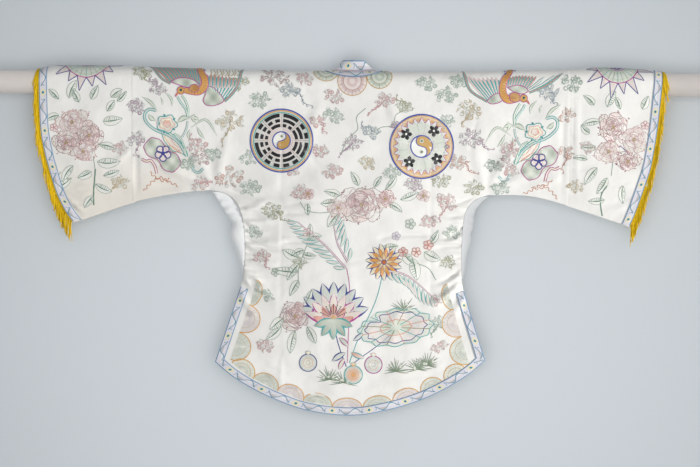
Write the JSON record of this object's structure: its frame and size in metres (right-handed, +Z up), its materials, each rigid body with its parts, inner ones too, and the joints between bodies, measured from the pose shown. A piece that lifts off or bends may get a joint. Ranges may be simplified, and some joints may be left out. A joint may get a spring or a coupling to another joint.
{
  "type": "chinese theatrical jacket on a rod",
  "caption": "Short wide-sleeved stage jacket of embroidered satin with ribbon borders, curved hem and fringed cuffs, spread flat over a padded rod",
  "frame": {"origin": "on the rod's axis, at the middle of the neck", "axes": "+X runs along the rod towards the wearer's right sleeve, +Z is up, and the jacket's back faces -Y"},
  "size_m": [1.6, 0.0823, 0.7792],
  "materials": {
    "ivory_satin": "satin",
    "white_satin": "satin",
    "flowered_ribbon": "woven ribbon",
    "golden_thread": "twisted thread",
    "padded_rod": "matt cotton"
  },
  "bodies": {
    "root": {"rod": "padded_rod", "back": "ivory_satin", "front_left": "ivory_satin", "front_right": "ivory_satin", "sleeve_end_left_back": "ivory_satin", "sleeve_end_left_front": "ivory_satin", "sleeve_end_right_back": "ivory_satin", "sleeve_end_right_front": "ivory_satin", "gusset_left": "white_satin", "gusset_right": "white_satin", "collar": "flowered_ribbon", "neck_band": "flowered_ribbon", "hem_ribbon_back": "flowered_ribbon", "hem_ribbon_front_left": "flowered_ribbon", "hem_ribbon_front_right": "flowered_ribbon", "cuff_ribbon_left": "flowered_ribbon", "cuff_ribbon_right": "flowered_ribbon", "fringe_left": "golden_thread", "fringe_right": "golden_thread"}
  },
  "joints": []
}
